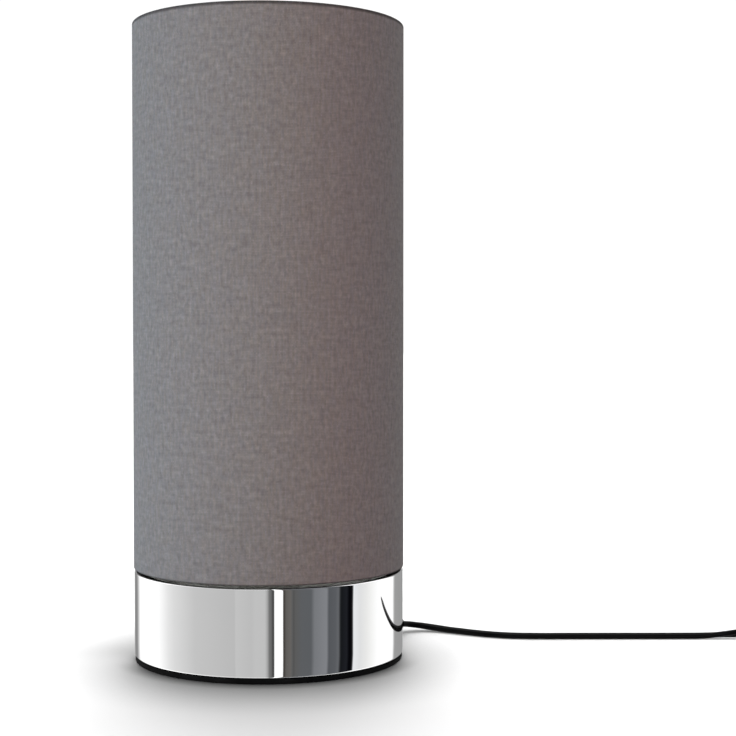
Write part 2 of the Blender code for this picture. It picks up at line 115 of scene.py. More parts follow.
def grid_mesh(name, rings, closed_u=True, closed_v=True, angle=35.0, cap=False):
    """rings: (n, m, 3) points in metres.  u runs along n, v along m."""
    rings = np.asarray(rings, float)
    n, m = rings.shape[:2]
    faces = []
    for i in range(n if closed_u else n - 1):
        j = (i + 1) % n
        for k in range(m if closed_v else m - 1):
            l = (k + 1) % m
            faces.append((i * m + k, j * m + k, j * m + l, i * m + l))
    if cap and not closed_u:
        faces.append(tuple(range(m - 1, -1, -1)))
        faces.append(tuple((n - 1) * m + k for k in range(m)))
    me = bpy.data.meshes.new(name)
    me.from_pydata(rings.reshape(-1, 3).tolist(), [], faces)
    bm = bmesh.new()
    bm.from_mesh(me)
    bmesh.ops.remove_doubles(bm, verts=bm.verts, dist=1e-7)
    bmesh.ops.recalc_face_normals(bm, faces=bm.faces)
    bm.to_mesh(me)
    bm.free()
    me.validate()
    shade(me, angle)
    return me


def lathe(name, profile, n=128, frame_m=None, angle=35.0, closed=True, offset=None, azimuths=None):
    """Turns a closed (r, z) profile in mm about Z.  offset(azimuth, r, z) adds to r, in mm.
    An open profile starts and ends on the axis."""
    az = np.linspace(0, TAU, n, endpoint=False) if azimuths is None else np.asarray(azimuths)
    rings = []
    for a in az:
        c, s = math.cos(a), math.sin(a)
        rings.append([((r + (offset(a, r, z) if offset and r > 0 else 0.0)) * c * MM,
                       (r + (offset(a, r, z) if offset and r > 0 else 0.0)) * s * MM, z * MM) for r, z in profile])
    me = grid_mesh(name, rings, True, closed, angle)
    o = new_object(name, me)
    if frame_m is not None:
        me.transform(frame_m)
    return o


def arc(cx, cz, r, a0, a1, n):
    return [(cx + r * math.cos(math.radians(a0 + (a1 - a0) * k / n)), cz + r * math.sin(math.radians(a0 + (a1 - a0) * k / n)))
            for k in range(n + 1)]


def catmull(points, per=16):
    """A smooth curve through the points, as an array."""
    p = np.asarray(points, float)
    p = np.vstack([2 * p[0] - p[1], p, 2 * p[-1] - p[-2]])
    out = []
    for i in range(1, len(p) - 2):
        p0, p1, p2, p3 = p[i - 1:i + 3]
        t0 = 0.0
        t1 = t0 + math.sqrt(np.linalg.norm(p1 - p0))
        t2 = t1 + math.sqrt(np.linalg.norm(p2 - p1))
        t3 = t2 + math.sqrt(np.linalg.norm(p3 - p2))
        for k in range(per):
            t = t1 + (t2 - t1) * k / per
            a1 = p0 * ((t1 - t) / (t1 - t0)) + p1 * ((t - t0) / (t1 - t0))
            a2 = p1 * ((t2 - t) / (t2 - t1)) + p2 * ((t - t1) / (t2 - t1))
            a3 = p2 * ((t3 - t) / (t3 - t2)) + p3 * ((t - t2) / (t3 - t2))
            b1 = a1 * ((t2 - t) / (t2 - t0)) + a2 * ((t - t0) / (t2 - t0))
            b2 = a2 * ((t3 - t) / (t3 - t1)) + a3 * ((t - t1) / (t3 - t1))
            out.append(b1 * ((t2 - t) / (t2 - t1)) + b2 * ((t - t1) / (t2 - t1)))
    out.append(p[-2])
    return np.array(out)


def resample(line, step):
    along = np.concatenate([[0], np.cumsum(np.linalg.norm(np.diff(line, axis=0), axis=1))])
    n = max(2, int(round(along[-1] / step)) + 1)
    at = np.linspace(0, along[-1], n)
    return np.stack([np.interp(at, along, line[:, k]) for k in range(3)], axis=1), at


def sweep(name, line, section, twist=None, angle=60.0, grow=None, up=(0, 0, 1)):
    """Sweeps a closed section of (across, height) points along a line, all in mm.  The section's
    height stays near up; twist(i) turns it about the line, in radians."""
    line = np.asarray(line, float)
    tangent = np.gradient(line, axis=0)
    tangent /= np.linalg.norm(tangent, axis=1)[:, None]
    rings = []
    up = np.asarray(up, float)
    for i, (p, t) in enumerate(zip(line, tangent)):
        side = np.cross(t, up)
        side /= np.linalg.norm(side)
        high = np.cross(side, t)
        a = twist(i) if twist else 0.0
        x, y = side * math.cos(a) + high * math.sin(a), high * math.cos(a) - side * math.sin(a)
        g = grow(i) if grow else 1.0
        rings.append([(p + g * (x * u + y * v)) * MM for u, v in section])
    return new_object(name, grid_mesh(name, rings, False, True, angle, cap=True))


def circle(r, n=12):
    return [(r * math.cos(TAU * k / n), r * math.sin(TAU * k / n)) for k in range(n)]


# ------------------------------------------------------------------ node helpers
def material(name):
    m = bpy.data.materials.new(name)
    m.use_nodes = True
    nt = m.node_tree
    return m, nt, nt.nodes["Principled BSDF"]


def node(nt, kind, **values):
    n = nt.nodes.new(kind)
    for k, v in values.items():
        setattr(n, k, v)
    return n


def link(nt, a, b):
    nt.links.new(a, b)


def put(nt, socket, value):
    if hasattr(value, "is_linked") or hasattr(value, "links"):
        nt.links.new(value, socket)
    else:
        socket.default_value = value


def maths(nt, op, a, b=None, c=None, clamp=False):
    n = node(nt, "ShaderNodeMath", operation=op, use_clamp=clamp)
    put(nt, n.inputs[0], a)
    if b is not None:
        put(nt, n.inputs[1], b)
    if c is not None:
        put(nt, n.inputs[2], c)
    return n.outputs[0]


def coords(nt):
    return node(nt, "ShaderNodeTexCoord").outputs["Object"]


def split(nt, v):
    s = node(nt, "ShaderNodeSeparateXYZ")
    link(nt, v, s.inputs[0])
    return s.outputs


def join(nt, x, y, z):
    c = node(nt, "ShaderNodeCombineXYZ")
    put(nt, c.inputs[0], x)
    put(nt, c.inputs[1], y)
    put(nt, c.inputs[2], z)
    return c.outputs[0]


def noise(nt, vector, scale, detail=2.0, rough=0.5, distortion=0.0):
    n = node(nt, "ShaderNodeTexNoise")
    n.inputs["Scale"].default_value = scale
    n.inputs["Detail"].default_value = detail
    n.inputs["Roughness"].default_value = rough
    n.inputs["Distortion"].default_value = distortion
    link(nt, vector, n.inputs["Vector"])
    return n.outputs["Fac"]


def remap(nt, value, a, b, c, d, smooth=False):
    n = node(nt, "ShaderNodeMapRange", clamp=True)
    if smooth:
        n.interpolation_type = "SMOOTHSTEP"
    put(nt, n.inputs["Value"], value)
    n.inputs["From Min"].default_value = a
    n.inputs["From Max"].default_value = b
    n.inputs["To Min"].default_value = c
    n.inputs["To Max"].default_value = d
    return n.outputs["Result"]


def mix_colour(nt, fac, a, b, blend="MIX"):
    n = node(nt, "ShaderNodeMix", data_type="RGBA", blend_type=blend)
    put(nt, n.inputs[0], fac)
    put(nt, n.inputs[6], a if hasattr(a, "links") else (*a, 1.0))
    put(nt, n.inputs[7], b if hasattr(b, "links") else (*b, 1.0))
    return n.outputs[2]


def bump(nt, height, strength, distance, normal=None):
    n = node(nt, "ShaderNodeBump")
    n.inputs["Strength"].default_value = strength
    n.inputs["Distance"].default_value = distance
    link(nt, height, n.inputs["Height"])
    if normal is not None:
        link(nt, normal, n.inputs["Normal"])
    return n.outputs["Normal"]


def ramp(nt, fac, stops, kind="LINEAR"):
    n = node(nt, "ShaderNodeValToRGB")
    n.color_ramp.interpolation = kind
    el = n.color_ramp.elements
    while len(el) > 1:
        el.remove(el[-1])
    for k, (at, value) in enumerate(stops):
        e = el[0] if k == 0 else el.new(at)
        e.position = at
        e.color = (*value, 1.0) if hasattr(value, "__len__") else (value, value, value, 1.0)
    link(nt, fac, n.inputs[0])
    return n.outputs[0]


# ------------------------------------------------------------------ materials
def plain(name, colour, rough, metallic=0.0, grain=0.06, scale=900.0, height=0.00001, spec=0.5, rough_vary=0.08, coat=0.0):
    """Moulded, cast or plated stuff: slight mottling, its own fine surface and uneven gloss."""
    m, nt, p = material(name)
    v = coords(nt)
    big = noise(nt, v, scale * 0.05, 3.0)
    fine = noise(nt, v, scale, 3.0, 0.6)
    dark = tuple(c * (1 - grain) for c in colour)
    light = tuple(min(1.0, c * (1 + grain)) for c in colour)
    link(nt, mix_colour(nt, remap(nt, big, 0.3, 0.7, 0.0, 1.0), dark, light), p.inputs["Base Color"])
    link(nt, remap(nt, noise(nt, v, scale * 0.2, 3.0), 0.3, 0.7, rough - rough_vary * rough, rough + rough_vary * rough), p.inputs["Roughness"])
    p.inputs["Metallic"].default_value = metallic
    p.inputs["Specular IOR Level"].default_value = spec
    if coat:
        p.inputs["Coat Weight"].default_value = coat
        p.inputs["Coat Roughness"].default_value = 0.1
    link(nt, bump(nt, fine, 0.35, height), p.inputs["Normal"])
    return m


def cloth_material(name, colour, inside=False):
    """Plain weave of slubby linen-look yarn.  Warp runs up the drum and weft round it."""
    m, nt, p = material(name)
    x, y, z = split(nt, coords(nt))[:3]
    az = maths(nt, "ARCTAN2", y, x)
    u = maths(nt, "MULTIPLY", az, SHADE_R)                  # mm round the drum
    # mm up the drum, and on over the folded rims: inward at the top and at the bottom
    inward = maths(nt, "SUBTRACT", SHADE_R, maths(nt, "MULTIPLY", maths(nt, "SQRT", maths(nt, "ADD", maths(nt, "MULTIPLY", x, x), maths(nt, "MULTIPLY", y, y))), 1000.0))
    side = maths(nt, "SUBTRACT", maths(nt, "MULTIPLY", maths(nt, "GREATER_THAN", z, 0.165), 2.0), 1.0)
    v = maths(nt, "ADD", maths(nt, "MULTIPLY", z, 1000.0), maths(nt, "MULTIPLY", inward, side))
    wob = noise(nt, join(nt, maths(nt, "MULTIPLY", u, 0.25), maths(nt, "MULTIPLY", v, 0.25), 3.0), 1.0, 2.0)
    wob2 = noise(nt, join(nt, maths(nt, "MULTIPLY", u, 0.25), maths(nt, "MULTIPLY", v, 0.25), 9.0), 1.0, 2.0)
    uu = maths(nt, "ADD", u, maths(nt, "MULTIPLY", wob, 0.9))
    vv = maths(nt, "ADD", v, maths(nt, "MULTIPLY", wob2, 0.9))
    pitch_u, pitch_v = 0.62, 0.66
    iu = maths(nt, "FLOOR", maths(nt, "DIVIDE", uu, pitch_u))
    iv = maths(nt, "FLOOR", maths(nt, "DIVIDE", vv, pitch_v))
    fu = maths(nt, "SUBTRACT", maths(nt, "DIVIDE", uu, pitch_u), iu)
    fv = maths(nt, "SUBTRACT", maths(nt, "DIVIDE", vv, pitch_v), iv)
    # a rounded yarn across its own width
    yu = maths(nt, "SINE", maths(nt, "MULTIPLY", fu, math.pi))
    yv = maths(nt, "SINE", maths(nt, "MULTIPLY", fv, math.pi))
    odd = maths(nt, "MODULO", maths(nt, "ABSOLUTE", maths(nt, "ADD", iu, iv)), 2.0)   # which yarn is on top here
    over = maths(nt, "COMPARE", odd, 1.0, 0.5)
    # each yarn has its own tone, thickness and slubs along its length
    warp_tone = noise(nt, join(nt, maths(nt, "MULTIPLY", iu, 7.31), maths(nt, "MULTIPLY", v, 0.16), 1.0), 1.0, 3.0, 0.6)
    weft_tone = noise(nt, join(nt, maths(nt, "MULTIPLY", u, 0.16), maths(nt, "MULTIPLY", iv, 5.77), 5.0), 1.0, 3.0, 0.6)
    cell = node(nt, "ShaderNodeTexWhiteNoise", noise_dimensions="2D")
    link(nt, join(nt, iu, iv, 0.0), cell.inputs["Vector"])
    tone = node(nt, "ShaderNodeMix", data_type="FLOAT")
    link(nt, over, tone.inputs[0])
    link(nt, warp_tone, tone.inputs[2])
    link(nt, weft_tone, tone.inputs[3])
    tone = tone.outputs[0]
    yarn = node(nt, "ShaderNodeMix", data_type="FLOAT")
    link(nt, over, yarn.inputs[0])
    link(nt, yu, yarn.inputs[2])
    link(nt, yv, yarn.inputs[3])
    yarn = yarn.outputs[0]
    crown_v = maths(nt, "SINE", maths(nt, "MULTIPLY", fv, math.pi))
    crown = node(nt, "ShaderNodeMix", data_type="FLOAT")
    link(nt, over, crown.inputs[0])
    link(nt, crown_v, crown.inputs[2])
    link(nt, yu, crown.inputs[3])
    height = maths(nt, "MULTIPLY", maths(nt, "POWER", yarn, 0.6), maths(nt, "ADD", 0.55, maths(nt, "MULTIPLY", crown.outputs[0], 0.45)))
    slub = maths(nt, "ADD", remap(nt, warp_tone, 0.58, 0.74, 0.0, 0.6, True), remap(nt, weft_tone, 0.58, 0.74, 0.0, 0.6, True))
    dash = noise(nt, join(nt, maths(nt, "MULTIPLY", u, 0.62), maths(nt, "MULTIPLY", v, 0.40), 2.0), 1.0, 1.0, 0.4)
    # colour: painted shade in the gaps between yarns, each yarn a little lighter or darker, thick and thin places along
    # it
    light = remap(nt, tone, 0.25, 0.75, 0.91, 1.09)
    # painted shade: darker where the yarn lies low, between the yarns
    light = maths(nt, "MULTIPLY", light, remap(nt, height, 0.1, 0.9, 0.90, 1.03))
    light = maths(nt, "MULTIPLY", light, remap(nt, cell.outputs["Value"], 0.0, 1.0, 0.96, 1.04))
    light = maths(nt, "MULTIPLY", light, remap(nt, dash, 0.25, 0.75, 0.88, 1.13))
    for fu_s, fv_s, seed in ((0.75, 0.13, 13.0), (0.16, 0.62, 17.0)):      # uneven dye in bundles of warp and of weft
        streak = noise(nt, join(nt, maths(nt, "MULTIPLY", u, fu_s), maths(nt, "MULTIPLY", v, fv_s), seed), 1.0, 1.0, 0.4)
        light = maths(nt, "MULTIPLY", light, remap(nt, streak, 0.25, 0.75, 0.925, 1.08))
    light = maths(nt, "ADD", light, maths(nt, "MULTIPLY", slub, 0.04))
    # painted shade: a dark line along the top and bottom rims, and the folded hems inside them darker
    light = maths(nt, "MULTIPLY", light, maths(nt, "MAXIMUM", remap(nt, v, SHADE_TOP - 2.0, SHADE_TOP - 0.75, 1.0, 0.36, True),
                                               remap(nt, v, SHADE_TOP + 0.5, SHADE_TOP + 2.0, 0.36, 0.85, True)))
    light = maths(nt, "MULTIPLY", light, remap(nt, v, SHADE_LOW + 0.9, SHADE_LOW + 0.2, 1.0, 0.40, True))
    # painted light: the drum a little lighter towards the bottom and darker towards the top, evening out its shading
    # over the height
    light = maths(nt, "MULTIPLY", light, remap(nt, v, SHADE_LOW, SHADE_TOP, 1.035, 0.99))
    hue = noise(nt, join(nt, maths(nt, "MULTIPLY", iu, 3.7), maths(nt, "MULTIPLY", iv, 0.11), 4.0), 1.0, 1.0)
    base = mix_colour(nt, remap(nt, hue, 0.35, 0.65, 0.0, 1.0), tuple(c * k for c, k in zip(colour, (1.02, 1.0, 0.97))),
                      tuple(c * k for c, k in zip(colour, (0.98, 1.0, 1.04))))
    grey = node(nt, "ShaderNodeCombineColor")
    for s in grey.inputs[:3]:
        link(nt, light, s)
    link(nt, mix_colour(nt, 1.0, base, grey.outputs[0], "MULTIPLY"), p.inputs["Base Color"])
    p.inputs["Roughness"].default_value = 0.85
    p.inputs["Specular IOR Level"].default_value = 0.06
    tall = maths(nt, "ADD", height, maths(nt, "MULTIPLY", slub, 0.5))
    link(nt, bump(nt, tall, 0.55, 0.00012), p.inputs["Normal"])
    return m


def chrome_material():
    m, nt, p = material("chrome_mirror")
    v = coords(nt)
    p.inputs["Metallic"].default_value = 1.0
    smudge = noise(nt, v, 60.0, 4.0, 0.6)
    link(nt, mix_colour(nt, remap(nt, smudge, 0.4, 0.75, 0.0, 1.0), (0.955, 0.955, 0.955), (0.935, 0.938, 0.94)), p.inputs["Base Color"])
    link(nt, remap(nt, smudge, 0.5, 0.85, 0.010, 0.04), p.inputs["Roughness"])
    wave = noise(nt, v, 22.0, 1.0)
    link(nt, bump(nt, wave, 0.04, 0.00004), p.inputs["Normal"])
    return m


def brushed(name, colour, rough, stretch=(1, 1, 12)):
    m, nt, p = material(name)
    v = node(nt, "ShaderNodeMapping")
    v.inputs["Scale"].default_value = stretch
    link(nt, coords(nt), v.inputs["Vector"])
    lines = noise(nt, v.outputs[0], 700.0, 4.0, 0.7)
    p.inputs["Metallic"].default_value = 1.0
    link(nt, mix_colour(nt, remap(nt, lines, 0.3, 0.7, 0.0, 1.0), tuple(c * 0.88 for c in colour), colour), p.inputs["Base Color"])
    link(nt, remap(nt, lines, 0.3, 0.7, rough * 0.8, rough * 1.25), p.inputs["Roughness"])
    link(nt, bump(nt, lines, 0.15, 0.00001), p.inputs["Normal"])
    return m


CLOTH = cloth_material("shade_cloth_weave", (0.156, 0.144, 0.141))
CHROME = chrome_material()
LINER = plain("liner_styrene", (0.86, 0.86, 0.84), 0.42, grain=0.02, scale=700.0, height=0.000012)
ENAMEL = plain("white_powder_coat", (0.86, 0.86, 0.84), 0.38, grain=0.02, scale=2200.0, height=0.00003)
FOOT = plain("foam_foot", (0.0075, 0.0075, 0.0078), 0.9, grain=0.4, scale=2600.0, height=0.00008, spec=0.06)
PVC = plain("flex_pvc", (0.0022, 0.0022, 0.0024), 0.22, grain=0.2, scale=1500.0, height=0.000012, spec=0.07)
BLACK = plain("black_moulding", (0.014, 0.014, 0.015), 0.32, grain=0.12, scale=2400.0, height=0.00002)
TIE = plain("tie_plastic", (0.018, 0.018, 0.019), 0.45, grain=0.2, scale=1800.0, height=0.00002)
WHITE = plain("white_moulding", (0.80, 0.80, 0.77), 0.36, grain=0.02, scale=1800.0, height=0.000015)
CERAMIC = plain("ceramic_body", (0.84, 0.82, 0.77), 0.55, grain=0.03, scale=1600.0, height=0.00003)
ZINC = brushed("zinc_plate", (0.66, 0.66, 0.64), 0.34)
IRON = plain("cast_iron", (0.09, 0.09, 0.09), 0.62, metallic=0.7, grain=0.25, scale=1400.0, height=0.0001)
BRASS = brushed("stamped_brass", (0.78, 0.58, 0.28), 0.28)
NICKEL = brushed("nickel_plate", (0.74, 0.72, 0.68), 0.22)
COPPER = brushed("copper_winding", (0.70, 0.30, 0.16), 0.35, (1, 1, 40))
BOARD = plain("solder_mask", (0.03, 0.16, 0.07), 0.35, grain=0.12, scale=1200.0, height=0.00002)
CHIP = plain("component_epoxy", (0.02, 0.02, 0.022), 0.5, grain=0.2, scale=2600.0, height=0.00002)
FILM = plain("capacitor_box", (0.72, 0.52, 0.06), 0.42, grain=0.05, scale=1500.0, height=0.00002)
LEAD = plain("lead_sleeve", (0.16, 0.06, 0.03), 0.45, grain=0.1, scale=1500.0, height=0.00001)


def opal_material():
    m, nt, p = material("opal_glass")
    v = coords(nt)
    link(nt, mix_colour(nt, noise(nt, v, 40.0, 2.0), (0.80, 0.80, 0.78), (0.83, 0.83, 0.81)), p.inputs["Base Color"])
    link(nt, remap(nt, noise(nt, v, 90.0, 3.0), 0.3, 0.7, 0.13, 0.20), p.inputs["Roughness"])
    p.inputs["Subsurface Weight"].default_value = 0.25
    p.inputs["Subsurface Scale"].default_value = 0.003
    p.inputs["Subsurface Radius"].default_value = (1.0, 0.95, 0.9)
    p.inputs["IOR"].default_value = 1.5
    link(nt, bump(nt, noise(nt, v, 30.0, 1.0), 0.05, 0.0001), p.inputs["Normal"])
    return m


OPAL = opal_material()

FINISH = {
    "shade_cloth": CLOTH, "shade_liner": LINER, "base_shell": CHROME, "foot_pad": FOOT, "bottom_plate": ZINC, "ballast_ring": IRON,
    "plate_screw_1": ZINC, "plate_screw_2": ZINC, "plate_screw_3": ZINC, "cord_relief": PVC, "cord_inner": PVC, "cord_clamp": WHITE,
    "clamp_screw": ZINC, "dimmer_board": BOARD, "board_pillar_1": WHITE, "board_pillar_2": WHITE, "board_pillar_3": WHITE,
    "triac": CHIP, "mains_capacitor": FILM, "filter_choke": COPPER, "touch_chip": CHIP, "terminal_block": WHITE,
    "nipple_tube": ZINC, "nipple_nut": ZINC, "lock_washer": ZINC, "touch_lug": BRASS, "touch_wire": LEAD, "live_lead": LEAD,
    "neutral_lead": LEAD, "holder_body": WHITE, "holder_skirt": WHITE, "holder_core": CERAMIC, "screw_shell": BRASS,
    "centre_contact": BRASS, "cord_run": PVC, "cord_coil": PVC, "cord_tail": PVC, "cord_tie_a": TIE, "cord_tie_b": TIE,
    "plug_body": BLACK, "plug_pin_l": NICKEL, "plug_pin_r": NICKEL, "top_ring": ENAMEL, "bottom_ring": ENAMEL,
    "spider_spoke_1": ENAMEL, "spider_spoke_2": ENAMEL, "spider_spoke_3": ENAMEL, "carrier_ring": ENAMEL, "shade_nut": WHITE,
    "bulb_tip": NICKEL, "bulb_insulator": BLACK, "bulb_cap": NICKEL, "bulb_glass": OPAL, "led_stem": CERAMIC,
}
for name, o in NODES.items():
    if not o.data.materials:
        o.data.materials.append(None)
    for s in o.material_slots:
        s.material = FINISH[name]
    # the exact solids are faceted: join their corners and shade their turned faces smooth
    w = o.modifiers.new("corners", "WELD")
    w.merge_threshold = 0.000002
    for poly in o.data.polygons:
        poly.use_smooth = True
    e = o.modifiers.new("edges", "EDGE_SPLIT")
    e.split_angle = math.radians(32)


def dress(o, mat, body, *replaced, slot=None):
    o.data.materials.clear()
    o.data.materials.append(mat)
    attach(o, body)
    if replaced:
        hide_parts(*replaced)
    return o


# ------------------------------------------------------------------ the free flex
FLEX_W, FLEX_T = 5.2, 2.6
FLOOR_Z = FLEX_T / 2 + 0.05
COIL_X, COIL_Y, COIL_R, COIL_TURNS, COIL_PITCH = 262.0, -11.0, 35.6, 8.25, 2.7
PLUG_X, PLUG_Z = 303.0, 6.85
relief_end = exit_at + out_dir * (RELIEF + 0.3)
LAYER_1, LAYER_2 = 3.5, 8.8

way = [tuple(exit_at + out_dir * (RELIEF - 3.0)), tuple(relief_end), (67.6, 52.0, 3.55), (73.6, 53.2, 2.55), (80.4, 51.2, 1.75),
       (87.6, 46.6, FLOOR_Z), (95.6, 40.6, FLOOR_Z), (104.0, 35.4, FLOOR_Z), (113.5, 31.7, FLOOR_Z), (125.0, 29.9, FLOOR_Z),
       (140.0, 29.0, FLOOR_Z), (160.0, 27.9, FLOOR_Z), (180.0, 26.7, FLOOR_Z), (200.0, 25.8, FLOOR_Z), (218.0, 25.2, 1.7),
       (234.0, 24.8, 2.8), (247.0, 24.65, LAYER_1)]
turns = []
count = int(COIL_TURNS * 30)
for k in range(1, count + 1):
    t = COIL_TURNS * k / count
    half = COIL_TURNS / 2
    r = COIL_R - COIL_PITCH * (t if t < half else COIL_TURNS - t)
    blend = min(1.0, max(0.0, (t - (half - 0.28)) / 0.56))
    blend = blend * blend * (3 - 2 * blend)
    a = math.pi / 2 - TAU * t
    turns.append((COIL_X + r * math.cos(a), COIL_Y + r * math.sin(a), LAYER_1 + (LAYER_2 - LAYER_1) * blend))
way += turns
way += [(298.25, -18.0, 8.55), (299.3, -24.6, 8.0), (300.9, -30.0, 7.4), (302.2, -35.0, 7.0), (PLUG_X, -40.5, PLUG_Z), (PLUG_X + 0.1, -43.5, PLUG_Z)]
line, along = resample(catmull(way, 10), 1.5)


def smooth01(t):
    t = min(1.0, max(0.0, t))
    return t * t * (3 - 2 * t)


run_long = float(along[np.argmin(np.linalg.norm(line - np.array([247.0, 24.65, LAYER_1]), axis=1))])
tail_from = float(along[np.argmin(np.linalg.norm(line[: -4] - np.array([298.25, -18.0, 8.55]), axis=1))])


def flex_twist(i):
    s = along[i]
    on_edge = smooth01((s - (run_long - 48)) / 46)
    off_edge = smooth01((s - (tail_from - 8)) / 26)
    return math.pi / 2 * (on_edge - off_edge)


# a flat flex that turns on edge rises by as much as it stands taller
for i in range(len(line)):
    a = flex_twist(i)
    line[i, 2] = max(line[i, 2], FLEX_W / 2 * abs(math.sin(a)) + FLEX_T / 2 * math.cos(a) * (1 - 0.5 * abs(math.sin(a))) + 0.1)

lobe = [-148, -124, -96, -66, -34, 0, 34, 66, 96, 124, 148]
right = [(FLEX_T / 2 + FLEX_T / 2 * math.cos(math.radians(a)), FLEX_T / 2 * math.sin(math.radians(a))) for a in lobe]
section = right + [(-u, -v) for u, v in right]
flex = sweep("flex", line, section, flex_twist, angle=50.0)
dress(flex, PVC, "base", "cord_run", "cord_coil", "cord_tail", slot="black_flex")

# strain relief: moulded, tapered and slotted into rings
prof = [(0, -3.0), (4.4, -3.0), (4.6, -2.8), (4.6, -1.7), (4.5, -1.6), (3.7, -1.6), (3.7, 0.4), (4.35, 0.45), (4.45, 0.65), (4.45, 1.7), (4.3, 1.95)]
s_at = 2.6
while s_at < RELIEF - 2.2:
    r = 4.05 - 0.95 * s_at / RELIEF
    prof += [(r, s_at), (r, s_at + 1.1), (r - 0.08, s_at + 1.25), (r - 0.75, s_at + 1.3), (r - 0.75, s_at + 1.95), (r - 0.08, s_at + 2.0)]
    s_at += 2.15
prof += [(3.15, s_at), (3.1, RELIEF - 0.5), (2.75, RELIEF - 0.05), (0, RELIEF)]
prof = [(r, s) for r, s in prof][::-1]
relief_frame = Matrix.Translation(exit_at * MM) @ out_dir.to_track_quat("Z", "Y").to_matrix().to_4x4()
relief = lathe("strain_relief", prof, 48, relief_frame, closed=False, angle=40)
dress(relief, PVC, "base", "cord_relief", slot="black_flex")

# plug: one moulding, from the round relief at its neck to the flat face with the pins
stations = [(-39.9, 2.9, 2.5, 2.0), (-40.3, 3.3, 2.9, 2.0), (-46.0, 3.7, 3.3, 2.0), (-53.0, 4.5, 4.1, 2.2), (-55.5, 6.2, 5.3, 2.6),
            (-58.5, 9.6, 6.2, 3.0), (-62.5, 13.0, 6.6, 3.4), (-68.0, 15.9, 6.75, 4.0), (-75.0, 17.3, 6.8, 4.6), (-83.0, 17.6, 6.8, 5.0), (-83.8, 17.3, 6.5, 5.0), (-84.0, 16.8, 6.1, 5.0)]
st = np.array(stations)
ys = sorted(set(np.linspace(-39.9, -83.0, 88).tolist() + [-83.3, -83.6, -83.8, -83.95, -84.0]), reverse=True)
rings = []
for yv in ys:
    w, h, e = (float(np.interp(-yv, -st[:, 0], st[:, k])) for k in (1, 2, 3))
    if -53.0 < yv < -41.5:      # slots of the plug's own relief
        g = 1 - 0.10 * max(0.0, math.sin((yv + 41.5) * TAU / 2.3)) ** 0.5
        w, h = w * g, h * g
    if -74.0 < yv < -60.0:      # finger grip ribs
        w -= 0.35 * (0.5 + 0.5 * math.cos((yv + 60.0) * TAU / 2.0))
    ring = []
    for k in range(56):
        a = TAU * k / 56
        c, s = math.cos(a), math.sin(a)
        ring.append(((PLUG_X + w * math.copysign(abs(c) ** (2 / e), c)) * MM, yv * MM, (PLUG_Z + h * math.copysign(abs(s) ** (2 / e), s)) * MM))
    rings.append(ring)
plug = new_object("plug_moulding", grid_mesh("plug_moulding", rings, False, True, 40, cap=True))
dress(plug, BLACK, "base", "plug_body", slot="black_plastic")
pins = []
for side, x, nd in (("l", -9.3, "plug_pin_l"), ("r", 9.3, "plug_pin_r")):
    fm = Matrix.Translation(Vector((PLUG_X + x, -84.0, PLUG_Z)) * MM) @ Matrix.Rotation(math.radians(90), 4, "X")
    sleeve = lathe("pin_sleeve_" + side, [(0, 10.2), (1.85, 10.2), (1.95, 10.0), (1.95, 0.0), (0, 0.0)], 40, fm, closed=False)
    tip = lathe("pin_tip_" + side, [(0, 19.3), (0.7, 19.25), (1.35, 18.9), (1.8, 18.2), (2.0, 17.2), (2.0, 10.3), (0, 10.3)], 40, fm, closed=False)
    dress(sleeve, BLACK, "base", slot="black_plastic")
    dress(tip, NICKEL, "base", nd, slot="nickel_cap")
    pins += [sleeve, tip]

# ties: a flat band with a wire core round the bundle, its two ends twisted and laid down
ties = []
half_turns = COIL_PITCH * COIL_TURNS / 2
ring_in, ring_out = COIL_R - half_turns - 1.6, COIL_R + 1.6
for nd, angle in (("cord_tie_a", 150.0), ("cord_tie_b", 320.0)):
    a = math.radians(angle)
    radial, across = np.array([math.cos(a), math.sin(a), 0]), np.array([-math.sin(a), math.cos(a), 0])
    mid = (ring_in + ring_out) / 2
    c = np.array([COIL_X, COIL_Y, 0]) + radial * mid
    w, h = (ring_out - ring_in) / 2 + 0.55, 6.05
    loop = []
    for k in range(40):
        t = TAU * k / 40
        cu, sv = math.cos(t), math.sin(t)
        loop.append(c + radial * w * math.copysign(abs(cu) ** 0.45, cu) + np.array([0, 0, 6.3 + (h - 0.05) * math.copysign(abs(sv) ** 0.45, sv)]))
    rings = []
    for k, q in enumerate(loop):
        n_out = q - (c + np.array([0, 0, 6.3]))
        n_out /= np.linalg.norm(n_out)
        ring = []
        for u, v in ((-1.5, 0.0), (-1.3, 0.2), (-0.35, 0.2), (0, 0.36), (0.35, 0.2), (1.3, 0.2), (1.5, 0.0), (1.3, -0.18), (-1.3, -0.18)):
            ring.append((q + across * u + n_out * v) * MM)
        rings.append(ring)
    band = new_object("tie_band_" + nd[-1], grid_mesh("tie_band_" + nd[-1], rings, True, True, 40))
    dress(band, TIE, "base", nd, slot="black_plastic")
    tail_line = []
    for k in range(60):
        s = k / 59
        base_p = c + np.array([0, 0, 12.75]) + across * (1.2 + 15.0 * s) - radial * (2.0 * s)
        tail_line.append(base_p + (radial * math.cos(s * TAU * 3.5) + np.array([0, 0, 1.0]) * math.sin(s * TAU * 3.5)) * 0.42)
    tail = sweep("tie_twist_" + nd[-1], np.array(tail_line), circle(0.62, 8), angle=60)
    dress(tail, TIE, "base", slot="black_plastic")
    ties += [band, tail]

# ------------------------------------------------------------------ shade: cloth, liner, wires
SEAM_AZ = math.radians(90.0)


def seam_lift(a, r, z):
    """The cloth laps over itself at the back: the top layer ends in a folded edge."""
    if r < 57.5:
        return 0.0
    d = (a - SEAM_AZ + math.pi) % TAU - math.pi
    arc_mm = d * SHADE_R
    up = smooth01((arc_mm + 9.0) / 5.0)
    down = smooth01((arc_mm - 4.0) / 0.35)
    return 0.34 * (up - down)


